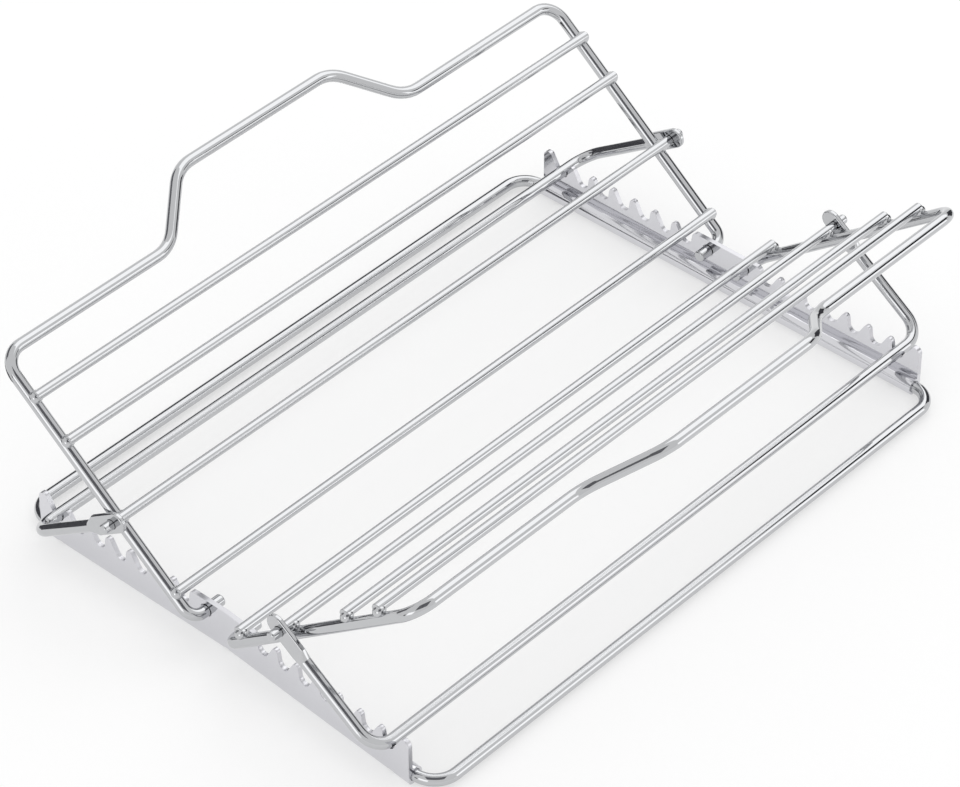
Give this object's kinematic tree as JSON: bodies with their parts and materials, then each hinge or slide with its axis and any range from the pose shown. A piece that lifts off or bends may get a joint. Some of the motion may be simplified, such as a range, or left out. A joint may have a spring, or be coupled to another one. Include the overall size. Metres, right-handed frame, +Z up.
{
  "type": "roasting rack",
  "caption": "Adjustable V-shaped roasting rack of chrome wire: panels pivot in toothed rails on a wire base, held by swinging struts in the notches.",
  "frame": {"origin": "on the table, under the middle of the rack", "axes": "+X along the cross wires, +Y along the toothed rails, +Z up"},
  "size_m": [0.322, 0.2456, 0.1036],
  "materials": {
    "wire": "bright chrome plate on steel wire",
    "rail_plate": "chrome plate on stamped steel strip"
  },
  "bodies": {
    "base": {"base_frame": "wire", "left_rail": "rail_plate", "right_rail": "rail_plate"},
    "back_panel": {"back_panel_frame": "wire", "back_lower_wire": "wire", "back_hinge_wire": "wire", "back_upper_wire": "wire", "back_top_wire": "wire"},
    "back_strut": {"back_strut": "wire"},
    "front_panel": {"front_panel_frame": "wire", "front_lower_wire": "wire", "front_hinge_wire": "wire", "front_upper_wire": "wire", "front_top_wire": "wire"},
    "front_strut": {"front_strut": "wire"}
  },
  "joints": [
    {"name": "back_panel_pivot", "type": "hinge", "parent": "base", "child": "back_panel", "pos_m": [0, 0.00925, 0.0143], "axis": [1, 0, 0], "range_deg": [0, 50]},
    {"name": "back_strut_hinge", "type": "hinge", "parent": "back_panel", "child": "back_strut", "pos_m": [0, 0.04195, 0.0453], "axis": [1, 0, 0], "range_deg": [0, 60]},
    {"name": "front_panel_pivot", "type": "hinge", "parent": "base", "child": "front_panel", "pos_m": [0, -0.00925, 0.0143], "axis": [-1, 0, 0], "range_deg": [0, 50]},
    {"name": "front_strut_hinge", "type": "hinge", "parent": "front_panel", "child": "front_strut", "pos_m": [0, -0.04195, 0.0453], "axis": [-1, 0, 0], "range_deg": [0, 60]}
  ]
}
